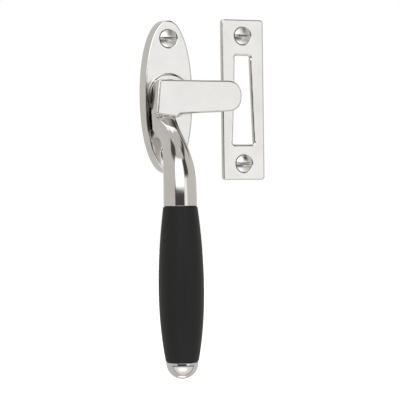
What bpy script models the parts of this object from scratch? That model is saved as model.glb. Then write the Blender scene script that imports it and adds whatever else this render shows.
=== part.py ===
"""Cockspur casement fastener with a turned barrel grip, and its slotted strike plate.

Units are metres, +Z is up and the sash face is the plane Y = 0, with the room
in front of it (-Y). The pivot axis of the lever is the line X = 0, Z = 0.
Depths are written as "out": the distance in front of the sash face, out = -Y.
"""

import math

import bmesh
import bpy
from mathutils import Matrix, Vector

MM = 0.001

# Rose: the oval plate on the sash
ROSE_HALF_WIDTH = 10.25 * MM
ROSE_HALF_HEIGHT = 30.15 * MM
ROSE_SQUARENESS = 2.12
ROSE_DRAFT = 0.35 * MM
ROSE_THICKNESS = 6.2 * MM
ROSE_EDGE = 0.6 * MM
ROSE_SCREW_Z = 22.6 * MM
BOSS_RADIUS = 7.6 * MM
BOSS_FILLET = 1.2 * MM
BOSS_OUT = 7.0 * MM
BOSS_EDGE = 0.15 * MM
BOSS_FOOT = 0.3 * MM
RECESS_RADIUS = 7.3 * MM
RECESS_DEPTH = 3.4 * MM

# Pivot stack, from the lever back to the sash face
JOURNAL_RADIUS = 3.0 * MM
BUSH_RADIUS = 4.0 * MM
SPIGOT_RADIUS = 2.5 * MM
TAIL_RADIUS = 2.7 * MM
TAIL_FLATS = 4.4 * MM
WASHER_RADIUS = 6.6 * MM
WAVE_THICKNESS = 0.3 * MM
WAVE_HEIGHT = 0.22 * MM
WAVE_COUNT = 3
KEYED_WASHER = 0.7 * MM
NUT_ACROSS_FLATS = 9.0 * MM
NUT_THICKNESS = 1.4 * MM
SEAT_GAP = 0.05 * MM
RUNNING_GAP = 0.08 * MM
CLEAR_GAP = 0.15 * MM

# Lever: tongue, hub and swept neck in one casting
LEVER_BACK = 7.4 * MM
LEVER_FRONT = 13.2 * MM
LEVER_EDGE = 0.6 * MM
HUB_LEFT_TOP = -6.15 * MM
HUB_LEFT_BOTTOM = -7.2 * MM
HUB_TOP = 6.0 * MM
HUB_BOTTOM_LEFT = -7.3 * MM
HUB_BOTTOM_RIGHT = -8.35 * MM
BLOCK_RIGHT = 0.75 * MM
BLOCK_FILLET = 0.8 * MM
SMALL_CORNER = 0.25 * MM
HUB_CORNER = 0.9 * MM
TONGUE_ROOT_X = 3.2 * MM
TONGUE_ROOT_Z = -7.05 * MM
TONGUE_END_Z = -6.15 * MM
TIP_START = 21.6 * MM
TIP_END = 28.0 * MM
TIP_SQUARENESS = 2.35
STUD_REACH = 4.6 * MM
STUD_CHAMFER = 0.3 * MM
NUT_CHAMFER = 0.2 * MM

# Neck: section centre and depth change with height
NECK_X = -3.3 * MM
NECK_TOP = -5.5 * MM
NECK_BOTTOM = -42.8 * MM
NECK_HALF_WIDTH_TOP = 3.85 * MM
NECK_RADIUS_BOTTOM = 6.3 * MM
NECK_FRONT_START = 11.4 * MM
NECK_FRONT_BEND = -7.8 * MM
NECK_BACK_BEND = -13.0 * MM
NECK_SQUARENESS_TOP = 7.0
NECK_FRONT_SOFTENING = 0.02
NECK_FRONT_POWER = 3.0
NECK_BACK_SOFTENING = 0.01
NECK_BACK_POWER = 3.9
NECK_WIDEN_FROM = -11.0 * MM
NECK_WIDEN_TO = -30.0 * MM
NECK_ROUND_FROM = -7.0 * MM
NECK_ROUND_TO = -29.0 * MM
NECK_ROUND_POWER = 1.5
GRIP_OUT = 26.0 * MM

# Grip: turned barrel on a threaded rod, closed by a domed cap nut
GRIP_LENGTH = 58.9 * MM
GRIP_RADIUS_TOP = 6.5 * MM
GRIP_RADIUS_MAX = 8.64 * MM
GRIP_RADIUS_END = 6.25 * MM
GRIP_BELLY = 0.52
GRIP_CURVE_UPPER = 1.9
GRIP_CURVE_LOWER = 2.2
GRIP_CORNER = 0.45 * MM
CAP_RADIUS = 6.1 * MM
CAP_EDGE = 0.4 * MM
ROD_RADIUS = 2.5 * MM
ROD_ENGAGE_NECK = 11.0 * MM
ROD_ENGAGE_CAP = 3.6 * MM
THREAD_DEPTH = 0.25 * MM
THREAD_PITCH = 0.8 * MM
ROD_NECK_TURNS = 11
ROD_CAP_TURNS = 4

# Strike plate, beside the fastener as it lies in a set
STRIKE_X = 33.3 * MM
STRIKE_Z = -0.85 * MM
STRIKE_WIDTH = 18.1 * MM
STRIKE_HEIGHT = 64.6 * MM
STRIKE_THICKNESS = 2.0 * MM
STRIKE_CORNER = 1.35 * MM
STRIKE_EDGE = 0.5 * MM
STRIKE_SCREW_Z = 25.7 * MM
SLOT_SHIFT = -0.13 * MM
SLOT_TOP = 17.75 * MM
SLOT_BOTTOM = -17.95 * MM
SLOT_TOP_WIDTH = 6.4 * MM
SLOT_BOTTOM_WIDTH = 9.05 * MM
SLOT_CORNER = 0.8 * MM

# Wood screws: slotted, raised countersunk
SCREW_HEAD_RADIUS = 3.6 * MM
SCREW_DOME = 0.95 * MM
SCREW_CONE = 1.8 * MM
SCREW_PLAIN = 5.0 * MM
SCREW_POINT = 3.0 * MM
SCREW_SHANK = 1.9 * MM
SCREW_ROOT = 1.35 * MM
SCREW_PITCH = 2.0 * MM
THREAD_FALL = 0.15
THREAD_ROOT_END = 0.70
SCREW_LENGTH = 20.0 * MM
SCREW_SLOT_WIDTH = 0.95 * MM
SCREW_SLOT_DEPTH = 1.1 * MM
SINK_RADIUS = 3.95 * MM
SHANK_HOLE = 2.15 * MM

SEGMENTS_FINE = 72
SEGMENTS = 48
SEGMENTS_COARSE = 28
NECK_SECTIONS = 26
NECK_POINTS = 48
CUT = 2.0 * MM

# Colours, linear RGB, with roughness and metallic value
NICKEL = ((0.70, 0.68, 0.64), 0.16, 1.0)
STEEL = ((0.45, 0.45, 0.46), 0.35, 1.0)
BRONZE = ((0.50, 0.33, 0.17), 0.40, 1.0)
EBONY = ((0.018, 0.017, 0.016), 0.42, 0.0)


def clear_scene():
    for item in list(bpy.data.objects):
        bpy.data.objects.remove(item, do_unlink=True)


def make_collection(name):
    collection = bpy.data.collections.new(name)
    bpy.context.scene.collection.children.link(collection)
    return collection


def make_material(name, look):
    colour, roughness, metallic = look
    material = bpy.data.materials.new(name)
    material.use_nodes = True
    shader = material.node_tree.nodes["Principled BSDF"]
    shader.inputs["Base Color"].default_value = (*colour, 1.0)
    shader.inputs["Roughness"].default_value = roughness
    shader.inputs["Metallic"].default_value = metallic
    material.diffuse_color = (*colour, 1.0)
    return material


def add_object(name, mesh, collection, parent=None):
    item = bpy.data.objects.new(name, mesh)
    collection.objects.link(item)
    item.parent = parent
    return item


def add_bmesh(name, bm, collection, parent=None, smooth=False):
    bmesh.ops.recalc_face_normals(bm, faces=bm.faces[:])
    for face in bm.faces:
        face.smooth = smooth
    mesh = bpy.data.meshes.new(name)
    bm.to_mesh(mesh)
    bm.free()
    return add_object(name, mesh, collection, parent)


def paint(item, look):
    item.data.materials.append(make_material(item.name, look))


def axis_empty(name, collection, location=(0.0, 0.0, 0.0)):
    empty = bpy.data.objects.new(name, None)
    empty.empty_display_size = 0.01
    empty.location = location
    collection.objects.link(empty)
    return empty


def face_front(item, x, z, out=0.0):
    """Turn a piece made about local +Z so that +Z points out of the sash face."""
    item.rotation_euler = (math.radians(90.0), 0.0, 0.0)
    item.location = (x, -out, z)


def turned(name, profile, collection, parent=None, steps=SEGMENTS, ring=False):
    """Revolve a profile of (radius, height) about local Z."""
    points = [(radius, 0.0, height) for radius, height in profile]
    edges = [(i, i + 1) for i in range(len(points) - 1)]
    if ring:
        edges.append((len(points) - 1, 0))
    mesh = bpy.data.meshes.new(name)
    mesh.from_pydata(points, edges, [])
    item = add_object(name, mesh, collection, parent)
    screw = item.modifiers.new("Turn", "SCREW")
    screw.axis = "Z"
    screw.steps = steps
    screw.render_steps = steps
    screw.use_merge_vertices = True
    screw.merge_threshold = 0.00001
    screw.use_smooth_shade = True
    return item


def bevel(item, width, segments=3, angle=35.0):
    modifier = item.modifiers.new("Edges", "BEVEL")
    modifier.width = width
    modifier.segments = segments
    modifier.limit_method = "ANGLE"
    modifier.angle_limit = math.radians(angle)
    return modifier


def boolean(item, other, operation):
    modifier = item.modifiers.new(operation.title(), "BOOLEAN")
    modifier.operation = operation
    modifier.solver = "EXACT"
    modifier.object = other


def as_cutter(item):
    item.hide_render = True
    item.display_type = "WIRE"
    return item


def cylinder_cutter(name, cutters, radius, length, x, z, out, segments=SEGMENTS):
    """A round cutter along the depth axis, starting at `out` and reaching forward."""
    bm = bmesh.new()
    bmesh.ops.create_cone(
        bm, cap_ends=True, segments=segments, radius1=radius, radius2=radius, depth=length,
        matrix=Matrix.Translation((0.0, 0.0, length / 2)),
    )
    item = add_bmesh(name, bm, cutters)
    face_front(item, x, z, out)
    return as_cutter(item)


def box_cutter(name, cutters, size, centre):
    bm = bmesh.new()
    bmesh.ops.create_cube(bm, size=1.0)
    bmesh.ops.scale(bm, vec=Vector(size), verts=bm.verts[:])
    item = add_bmesh(name, bm, cutters)
    item.location = centre
    return as_cutter(item)


def countersink_cutter(name, cutters, x, z, face_out):
    """Shank hole and countersink for one wood screw, entered from the front."""
    slope = (SINK_RADIUS - SHANK_HOLE) / SCREW_CONE
    profile = [
        (0.0, CUT),
        (SINK_RADIUS + CUT * slope, CUT),
        (SHANK_HOLE, -SCREW_CONE),
        (SHANK_HOLE, -face_out - CUT),
        (0.0, -face_out - CUT),
    ]
    item = turned(name, profile, cutters)
    face_front(item, x, z, face_out)
    return as_cutter(item)


def oval_point(angle, half_width, half_height, squareness):
    """Point of a superellipse at an angle, as two coordinates in its plane."""
    across, up = math.cos(angle), math.sin(angle)
    x = math.copysign(abs(across) ** (2.0 / squareness), across) * half_width
    z = math.copysign(abs(up) ** (2.0 / squareness), up) * half_height
    return x, z


def oval(half_width, half_height, squareness, count):
    angles = [2.0 * math.pi * i / count for i in range(count)]
    return [oval_point(angle, half_width, half_height, squareness) for angle in angles]


def extruded(name, outline, back, front, collection, parent=None):
    """Push a flat outline of (x, z) from depth `back` forward to depth `front`."""
    bm = bmesh.new()
    verts = [bm.verts.new((x, -back, z)) for x, z in outline]
    base = bm.faces.new(verts)
    result = bmesh.ops.extrude_face_region(bm, geom=[base], use_keep_orig=True)
    moved = [v for v in result["geom"] if isinstance(v, bmesh.types.BMVert)]
    bmesh.ops.translate(bm, vec=(0.0, back - front, 0.0), verts=moved)
    return add_bmesh(name, bm, collection, parent)


def rounded(corners, radius, steps=5):
    """Replace each corner of an outline by an arc of the given radius."""
    outline = []
    count = len(corners)
    for i, corner in enumerate(corners):
        here = Vector(corner)
        before = (Vector(corners[i - 1]) - here).normalized()
        after = (Vector(corners[(i + 1) % count]) - here).normalized()
        half = before.angle(after) / 2.0
        centre = here + (before + after).normalized() * radius / math.sin(half)
        start = here + before * radius / math.tan(half) - centre
        end = here + after * radius / math.tan(half) - centre
        sweep = start.angle_signed(end)
        for step in range(steps + 1):
            turn = Matrix.Rotation(-sweep * step / steps, 2)
            outline.append(tuple(centre + turn @ start))
    return outline


def smooth_step(value):
    value = min(max(value, 0.0), 1.0)
    return value * value * (3.0 - 2.0 * value)


def sweep_out(depth, start, softening, power):
    """0 above `start`, then a quick rise that settles at 1 by the neck's lower end."""
    share = max(start - depth, 0.0) / (start - NECK_BOTTOM)
    eased = share * share / (share + softening)
    return 1.0 - (1.0 - min(eased * (1.0 + softening), 1.0)) ** power


# ---------------------------------------------------------------- wood screws


def screw_profile():
    """Raised head, cone, plain shank, ribbed thread and point, from the top down."""
    dome_steps = 6
    profile = [(0.0, SCREW_DOME)]
    for i in range(1, dome_steps + 1):
        share = i / dome_steps
        profile.append((SCREW_HEAD_RADIUS * share, SCREW_DOME * (1.0 - share**2)))
    profile.append((SCREW_SHANK, -SCREW_CONE))
    depth = -SCREW_CONE - SCREW_PLAIN
    profile.append((SCREW_SHANK, depth))
    tip = -SCREW_LENGTH
    while depth - SCREW_PITCH > tip + SCREW_POINT:
        profile.append((SCREW_ROOT, depth - THREAD_FALL * SCREW_PITCH))
        profile.append((SCREW_ROOT, depth - THREAD_ROOT_END * SCREW_PITCH))
        profile.append((SCREW_SHANK, depth - SCREW_PITCH))
        depth -= SCREW_PITCH
    profile.append((SCREW_ROOT, depth - THREAD_FALL * SCREW_PITCH))
    profile.append((0.0, tip))
    return profile


def wood_screw(name, x, z, face_out, parts, cutters, parent):
    item = turned(name, screw_profile(), parts, parent, steps=SEGMENTS_COARSE)
    face_front(item, x, z, face_out)
    slot = box_cutter(
        name + "_slot",
        cutters,
        (4.0 * SCREW_HEAD_RADIUS, 2.0 * SCREW_SLOT_DEPTH, SCREW_SLOT_WIDTH),
        (x, -(face_out + SCREW_DOME), z),
    )
    boolean(item, slot, "DIFFERENCE")
    paint(item, NICKEL)


# ----------------------------------------------------------------------- rose


def boss(cutters):
    """Low round boss under the lever, with a hollow fillet down to the rose face."""
    foot = ROSE_THICKNESS - BOSS_FOOT
    rim = BOSS_OUT - BOSS_EDGE
    profile = [(0.0, BOSS_OUT), (BOSS_RADIUS - BOSS_EDGE, BOSS_OUT), (BOSS_RADIUS, rim)]
    rise = rim - ROSE_THICKNESS
    steps = 5
    for i in range(1, steps + 1):
        angle = math.radians(90.0) * i / steps
        radius = BOSS_RADIUS + BOSS_FILLET * (1.0 - math.cos(angle))
        profile.append((radius, ROSE_THICKNESS + rise * (1.0 - math.sin(angle))))
    profile.append((BOSS_RADIUS + BOSS_FILLET, foot))
    profile.append((0.0, foot))
    item = turned("boss_form", profile, cutters, steps=SEGMENTS_FINE)
    face_front(item, 0.0, 0.0)
    return as_cutter(item)


def rose_plate(parts, cutters, parent):
    outline = oval(ROSE_HALF_WIDTH, ROSE_HALF_HEIGHT, ROSE_SQUARENESS, SEGMENTS_FINE)
    bm = bmesh.new()
    base = bm.faces.new([bm.verts.new((x, 0.0, z)) for x, z in outline])
    result = bmesh.ops.extrude_face_region(bm, geom=[base], use_keep_orig=True)
    front = [v for v in result["geom"] if isinstance(v, bmesh.types.BMVert)]
    for vert in front:
        inward = Vector((vert.co.x / ROSE_HALF_WIDTH, 0.0, vert.co.z / ROSE_HALF_HEIGHT))
        vert.co -= inward.normalized() * ROSE_DRAFT
        vert.co.y = -ROSE_THICKNESS
    item = add_bmesh("rose_plate", bm, parts, parent)
    bevel(item, ROSE_EDGE)
    boolean(item, boss(cutters), "UNION")
    recess = cylinder_cutter(
        "rose_recess", cutters, RECESS_RADIUS, RECESS_DEPTH + CUT, 0.0, 0.0, -CUT
    )
    bore = cylinder_cutter(
        "rose_bore", cutters, BUSH_RADIUS + SEAT_GAP, BOSS_OUT + 2 * CUT, 0.0, 0.0, -CUT
    )
    boolean(item, recess, "DIFFERENCE")
    boolean(item, bore, "DIFFERENCE")
    for name, z in (("upper", ROSE_SCREW_Z), ("lower", -ROSE_SCREW_Z)):
        hole = countersink_cutter("rose_hole_" + name, cutters, 0.0, z, ROSE_THICKNESS)
        boolean(item, hole, "DIFFERENCE")
    paint(item, NICKEL)


def flat_ring(name, inner, outer, back, front, parts, parent, look, steps=SEGMENTS):
    profile = [(inner, front), (outer, front), (outer, back), (inner, back)]
    item = turned(name, profile, parts, parent, steps=steps, ring=True)
    face_front(item, 0.0, 0.0)
    paint(item, look)
    return item


def wave_washer(parts, parent):
    """Spring washer with three waves, between the recess floor and the keyed washer."""
    steps = 72
    inner = JOURNAL_RADIUS + 2.0 * CLEAR_GAP
    back = RECESS_DEPTH - SEAT_GAP - 2.0 * WAVE_HEIGHT - WAVE_THICKNESS
    bm = bmesh.new()
    corners = [
        (inner, back), (WASHER_RADIUS, back),
        (WASHER_RADIUS, back + WAVE_THICKNESS), (inner, back + WAVE_THICKNESS),
    ]
    verts = [bm.verts.new((radius, 0.0, height)) for radius, height in corners]
    edges = [bm.edges.new((verts[i], verts[(i + 1) % 4])) for i in range(4)]
    bmesh.ops.spin(
        bm, geom=verts + edges, cent=(0, 0, 0), axis=(0, 0, 1),
        angle=2.0 * math.pi, steps=steps, use_merge=True,
    )
    bmesh.ops.remove_doubles(bm, verts=bm.verts[:], dist=0.000001)
    for vert in bm.verts:
        angle = math.atan2(vert.co.y, vert.co.x)
        vert.co.z += WAVE_HEIGHT * (1.0 + math.cos(WAVE_COUNT * angle))
    item = add_bmesh("wave_washer", bm, parts, parent, smooth=True)
    face_front(item, 0.0, 0.0)
    paint(item, STEEL)


# ---------------------------------------------------------------------- pivot


def tail_front():
    """Depth of the shoulder where the journal steps down to the flatted tail."""
    return RECESS_DEPTH - 2.0 * SEAT_GAP - 2.0 * WAVE_HEIGHT - WAVE_THICKNESS


def flats_cutters(name, cutters, across, back, front):
    """Two boxes that leave a double-D section between two depths."""
    boxes = []
    for side in (-1, 1):
        boxes.append(
            box_cutter(
                name + ("_right" if side > 0 else "_left"),
                cutters,
                (4.0 * CUT, front - back, 8.0 * CUT),
                (side * (across / 2.0 + 2.0 * CUT), -(front + back) / 2.0, 0.0),
            )
        )
    return boxes


def pivot_stud(parts, cutters, parent):
    chamfer = STUD_CHAMFER
    shoulder = tail_front()
    profile = [
        (0.0, LEVER_BACK + STUD_REACH),
        (SPIGOT_RADIUS - chamfer, LEVER_BACK + STUD_REACH),
        (SPIGOT_RADIUS, LEVER_BACK + STUD_REACH - chamfer),
        (SPIGOT_RADIUS, LEVER_BACK - SEAT_GAP),
        (JOURNAL_RADIUS, LEVER_BACK - SEAT_GAP),
        (JOURNAL_RADIUS, shoulder),
        (TAIL_RADIUS, shoulder),
        (TAIL_RADIUS, chamfer),
        (TAIL_RADIUS - chamfer, 0.0),
        (0.0, 0.0),
    ]
    item = turned("pivot_stud", profile, parts, parent)
    face_front(item, 0.0, 0.0)
    for box in flats_cutters("stud_flat", cutters, TAIL_FLATS, -CUT, shoulder):
        boolean(item, box, "DIFFERENCE")
    paint(item, STEEL)


def keyed_washer(parts, cutters, parent):
    front = tail_front() - SEAT_GAP
    back = front - KEYED_WASHER
    bm = bmesh.new()
    bmesh.ops.create_cone(
        bm, cap_ends=True, segments=SEGMENTS, radius1=WASHER_RADIUS, radius2=WASHER_RADIUS,
        depth=KEYED_WASHER, matrix=Matrix.Translation((0, 0, (front + back) / 2)),
    )
    item = add_bmesh("keyed_washer", bm, parts, parent)
    face_front(item, 0.0, 0.0)
    key = cylinder_cutter(
        "key_hole", cutters, TAIL_RADIUS + CLEAR_GAP, KEYED_WASHER + 2 * CUT, 0, 0, back - CUT
    )
    flats = TAIL_FLATS + 2.0 * CLEAR_GAP
    for box in flats_cutters("key_flat", cutters, flats, back - 2 * CUT, front + 2 * CUT):
        boolean(key, box, "DIFFERENCE")
    boolean(item, key, "DIFFERENCE")
    paint(item, STEEL)


def pivot_nut(parts, cutters, parent):
    front = tail_front() - 2.0 * SEAT_GAP - KEYED_WASHER
    back = front - NUT_THICKNESS
    corner_radius = NUT_ACROSS_FLATS / 2.0 / math.cos(math.radians(30.0))
    bm = bmesh.new()
    bmesh.ops.create_cone(
        bm, cap_ends=True, segments=6, radius1=corner_radius, radius2=corner_radius,
        depth=NUT_THICKNESS, matrix=Matrix.Translation((0, 0, (front + back) / 2)),
    )
    item = add_bmesh("pivot_nut", bm, parts, parent)
    face_front(item, 0.0, 0.0)
    bevel(item, NUT_CHAMFER, segments=2)
    bore = cylinder_cutter(
        "nut_bore", cutters, TAIL_RADIUS + CLEAR_GAP, NUT_THICKNESS + 2 * CUT, 0, 0, back - CUT
    )
    boolean(item, bore, "DIFFERENCE")
    paint(item, STEEL)


# ---------------------------------------------------------------------- lever


def lever_outline():
    """Front view of hub and tongue: flat top, blunt round tip, block over the neck."""
    tip_steps = 22
    middle = (HUB_TOP + TONGUE_END_Z) / 2.0
    half = (HUB_TOP - TONGUE_END_Z) / 2.0
    outline = [(TIP_START, HUB_TOP)]
    for i in range(1, tip_steps):
        angle = math.radians(90.0 - 180.0 * i / tip_steps)
        x, z = oval_point(angle, TIP_END - TIP_START, half, TIP_SQUARENESS)
        outline.append((TIP_START + x, middle + z))
    outline.append((TIP_START, TONGUE_END_Z))
    fillet_steps = 5
    for i in range(fillet_steps + 1):
        angle = math.radians(90.0 * i / fillet_steps)
        x = TONGUE_ROOT_X - (TONGUE_ROOT_X - BLOCK_RIGHT) * math.sin(angle)
        z = TONGUE_ROOT_Z - BLOCK_FILLET * (1.0 - math.cos(angle))
        outline.append((x, z))
    outline.append((BLOCK_RIGHT - SMALL_CORNER, HUB_BOTTOM_RIGHT))
    outline.append((HUB_LEFT_BOTTOM + SMALL_CORNER, HUB_BOTTOM_LEFT))
    outline.append((HUB_LEFT_BOTTOM, HUB_BOTTOM_LEFT + SMALL_CORNER))
    outline.append((HUB_LEFT_TOP, HUB_TOP - HUB_CORNER))
    outline.append((HUB_LEFT_TOP + SMALL_CORNER, HUB_TOP - SMALL_CORNER))
    outline.append((HUB_LEFT_TOP + HUB_CORNER, HUB_TOP))
    return outline


def neck_section(height):
    """Centre depth, half width, half depth and squareness of the neck at a height."""
    front_end = GRIP_OUT + NECK_RADIUS_BOTTOM
    back_end = GRIP_OUT - NECK_RADIUS_BOTTOM
    back_start = LEVER_BACK + SEAT_GAP
    forward = sweep_out(height, NECK_FRONT_BEND, NECK_FRONT_SOFTENING, NECK_FRONT_POWER)
    front = NECK_FRONT_START + (front_end - NECK_FRONT_START) * forward
    behind = sweep_out(height, NECK_BACK_BEND, NECK_BACK_SOFTENING, NECK_BACK_POWER)
    back = back_start + (back_end - back_start) * behind
    half_depth = (front - back) / 2.0
    width_blend = smooth_step((NECK_WIDEN_FROM - height) / (NECK_WIDEN_FROM - NECK_WIDEN_TO))
    half_width = NECK_HALF_WIDTH_TOP + (half_depth - NECK_HALF_WIDTH_TOP) * width_blend
    round_blend = smooth_step((NECK_ROUND_FROM - height) / (NECK_ROUND_FROM - NECK_ROUND_TO))
    flatness = (1.0 - round_blend) ** NECK_ROUND_POWER
    squareness = 2.0 + (NECK_SQUARENESS_TOP - 2.0) * flatness
    return (front + back) / 2.0, half_width, half_depth, squareness


def neck_form(cutters):
    """Loft of the neck from the hub's flat section to the grip's round one."""
    bm = bmesh.new()
    rings = []
    for i in range(NECK_SECTIONS + 1):
        height = NECK_TOP + (NECK_BOTTOM - NECK_TOP) * i / NECK_SECTIONS
        out, half_width, half_depth, squareness = neck_section(height)
        ring = []
        for x, y in oval(half_width, half_depth, squareness, NECK_POINTS):
            ring.append(bm.verts.new((NECK_X + x, -out + y, height)))
        rings.append(ring)
    for upper, lower in zip(rings, rings[1:]):
        for j in range(NECK_POINTS):
            k = (j + 1) % NECK_POINTS
            bm.faces.new((upper[j], upper[k], lower[k], lower[j]))
    bm.faces.new(rings[0])
    bm.faces.new(rings[-1][::-1])
    return as_cutter(add_bmesh("neck_form", bm, cutters, smooth=True))


def lever(parts, cutters, parent):
    item = extruded("lever", lever_outline(), LEVER_BACK, LEVER_FRONT, parts, parent)
    bevel(item, LEVER_EDGE)
    boolean(item, neck_form(cutters), "UNION")
    stud_hole = cylinder_cutter(
        "lever_stud_hole", cutters, SPIGOT_RADIUS + CLEAR_GAP,
        STUD_REACH + CLEAR_GAP + CUT, 0.0, 0.0, LEVER_BACK - CUT,
    )
    boolean(item, stud_hole, "DIFFERENCE")
    rod_hole = cylinder_cutter(
        "lever_rod_hole", cutters, ROD_RADIUS + CLEAR_GAP,
        ROD_ENGAGE_NECK + CLEAR_GAP + CUT, 0.0, 0.0, 0.0,
    )
    rod_hole.rotation_euler = (0.0, 0.0, 0.0)
    rod_hole.location = (NECK_X, -GRIP_OUT, NECK_BOTTOM - CUT)
    boolean(item, rod_hole, "DIFFERENCE")
    paint(item, NICKEL)


# ----------------------------------------------------------------------- grip


def on_grip_axis(item):
    """Place a piece whose local Z = 0 is the joint face of the neck."""
    item.location = (NECK_X, -GRIP_OUT, NECK_BOTTOM)


def grip_radius(share):
    """Barrel radius at a share of the length, from the neck end."""
    if share < GRIP_BELLY:
        reach = (GRIP_BELLY - share) / GRIP_BELLY
        return GRIP_RADIUS_MAX - (GRIP_RADIUS_MAX - GRIP_RADIUS_TOP) * reach**GRIP_CURVE_UPPER
    reach = (share - GRIP_BELLY) / (1.0 - GRIP_BELLY)
    return GRIP_RADIUS_MAX - (GRIP_RADIUS_MAX - GRIP_RADIUS_END) * reach**GRIP_CURVE_LOWER


def grip(parts, parent):
    bore = ROD_RADIUS + 2.0 * CLEAR_GAP
    top = -SEAT_GAP
    end = -GRIP_LENGTH + SEAT_GAP
    profile = [(bore, top), (grip_radius(0.0) - GRIP_CORNER, top)]
    stations = 22
    for i in range(stations + 1):
        share = GRIP_CORNER / GRIP_LENGTH
        share += (1.0 - 2.0 * share) * i / stations
        profile.append((grip_radius(share), -GRIP_LENGTH * share))
    profile.append((grip_radius(1.0) - GRIP_CORNER, end))
    profile.append((bore, end))
    item = turned("grip", profile, parts, parent, steps=SEGMENTS, ring=True)
    on_grip_axis(item)
    paint(item, EBONY)


def rod_thread(start, core, turns):
    """Ridges of the rod's thread, from a height down."""
    profile = [(core, start - 0.1 * THREAD_PITCH)]
    for i in range(turns):
        profile.append((ROD_RADIUS, start - THREAD_PITCH * (i + 0.6)))
        profile.append((core, start - THREAD_PITCH * (i + 1.1)))
    return profile


def grip_rod(parts, parent):
    """Threaded rod through the grip, from the neck into the cap nut."""
    top = ROD_ENGAGE_NECK
    end = -GRIP_LENGTH - ROD_ENGAGE_CAP
    core = ROD_RADIUS - THREAD_DEPTH
    profile = [(0.0, top), (core, top)]
    profile += rod_thread(top, core, ROD_NECK_TURNS)
    profile += rod_thread(end + THREAD_PITCH * (ROD_CAP_TURNS + 0.5), core, ROD_CAP_TURNS)
    profile.append((core, end))
    profile.append((0.0, end))
    item = turned("grip_rod", profile, parts, parent, steps=SEGMENTS_COARSE)
    on_grip_axis(item)
    paint(item, STEEL)


def end_cap(parts, parent):
    """Domed cap nut, with a blind threaded hole for the rod."""
    face = -GRIP_LENGTH - SEAT_GAP
    steps = 14
    hole = ROD_RADIUS + CLEAR_GAP
    floor = face - ROD_ENGAGE_CAP - 2.0 * CLEAR_GAP
    profile = [(0.0, floor), (hole, floor), (hole, face), (CAP_RADIUS - CAP_EDGE, face)]
    for i in range(steps):
        angle = math.radians(90.0) * i / steps
        height = face - CAP_EDGE - CAP_RADIUS * math.sin(angle)
        profile.append((CAP_RADIUS * math.cos(angle), height))
    profile.append((0.0, face - CAP_EDGE - CAP_RADIUS))
    item = turned("end_cap", profile, parts, parent)
    on_grip_axis(item)
    paint(item, NICKEL)


# --------------------------------------------------------------------- strike


def strike_plate(parts, cutters, parent):
    left, right = STRIKE_X - STRIKE_WIDTH / 2.0, STRIKE_X + STRIKE_WIDTH / 2.0
    low, high = STRIKE_Z - STRIKE_HEIGHT / 2.0, STRIKE_Z + STRIKE_HEIGHT / 2.0
    corners = [(left, high), (left, low), (right, low), (right, high)]
    outline = rounded(corners, STRIKE_CORNER)
    item = extruded("strike_plate", outline, 0.0, STRIKE_THICKNESS, parts, parent)
    middle = STRIKE_X + SLOT_SHIFT
    half_top, half_bottom = SLOT_TOP_WIDTH / 2.0, SLOT_BOTTOM_WIDTH / 2.0
    top, bottom = STRIKE_Z + SLOT_TOP, STRIKE_Z + SLOT_BOTTOM
    slot_corners = [
        (middle - half_top, top),
        (middle - half_bottom, bottom),
        (middle + half_bottom, bottom),
        (middle + half_top, top),
    ]
    slot = extruded(
        "strike_slot", rounded(slot_corners, SLOT_CORNER), -CUT, STRIKE_THICKNESS + CUT, cutters
    )
    boolean(item, as_cutter(slot), "DIFFERENCE")
    bevel(item, STRIKE_EDGE, segments=2)
    for name, z in (("upper", STRIKE_SCREW_Z), ("lower", -STRIKE_SCREW_Z)):
        hole = countersink_cutter(
            "strike_hole_" + name, cutters, STRIKE_X, STRIKE_Z + z, STRIKE_THICKNESS
        )
        boolean(item, hole, "DIFFERENCE")
    paint(item, NICKEL)


# ------------------------------------------------------------------- assembly


def build():
    clear_scene()
    parts = make_collection("casement_fastener")
    cutters = make_collection("cutters")
    pivot = axis_empty("pivot_axis", parts)
    slide = axis_empty("strike_axis", parts)

    rose_plate(parts, cutters, None)
    for name, z in (("rose_screw_upper", ROSE_SCREW_Z), ("rose_screw_lower", -ROSE_SCREW_Z)):
        wood_screw(name, 0.0, z, ROSE_THICKNESS, parts, cutters, None)
    flat_ring(
        "rose_bush", JOURNAL_RADIUS + RUNNING_GAP, BUSH_RADIUS,
        RECESS_DEPTH, BOSS_OUT, parts, None, BRONZE,
    )
    flat_ring(
        "thrust_washer", JOURNAL_RADIUS + CLEAR_GAP, WASHER_RADIUS,
        BOSS_OUT + SEAT_GAP, LEVER_BACK - SEAT_GAP, parts, None, BRONZE,
    )
    wave_washer(parts, None)

    lever(parts, cutters, pivot)
    pivot_stud(parts, cutters, pivot)
    keyed_washer(parts, cutters, pivot)
    pivot_nut(parts, cutters, pivot)
    grip_rod(parts, pivot)
    grip(parts, pivot)
    end_cap(parts, pivot)

    strike_plate(parts, cutters, slide)
    for name, z in (("strike_screw_upper", STRIKE_SCREW_Z), ("strike_screw_lower", -STRIKE_SCREW_Z)):
        wood_screw(name, STRIKE_X, STRIKE_Z + z, STRIKE_THICKNESS, parts, cutters, slide)


build()
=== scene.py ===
"""Looks of the casement fastener: fine meshes, materials, studio and camera.

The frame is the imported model: +X along the tongue, +Z up, the sash face is the
plane Y = 0 and the room is in front of it (-Y). Fine shapes are worked out in
millimetres as fields over (x, out, z), where "out" is the distance in front of
the sash face. A field is negative inside the metal and zero on its surface.
"""

import math

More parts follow.
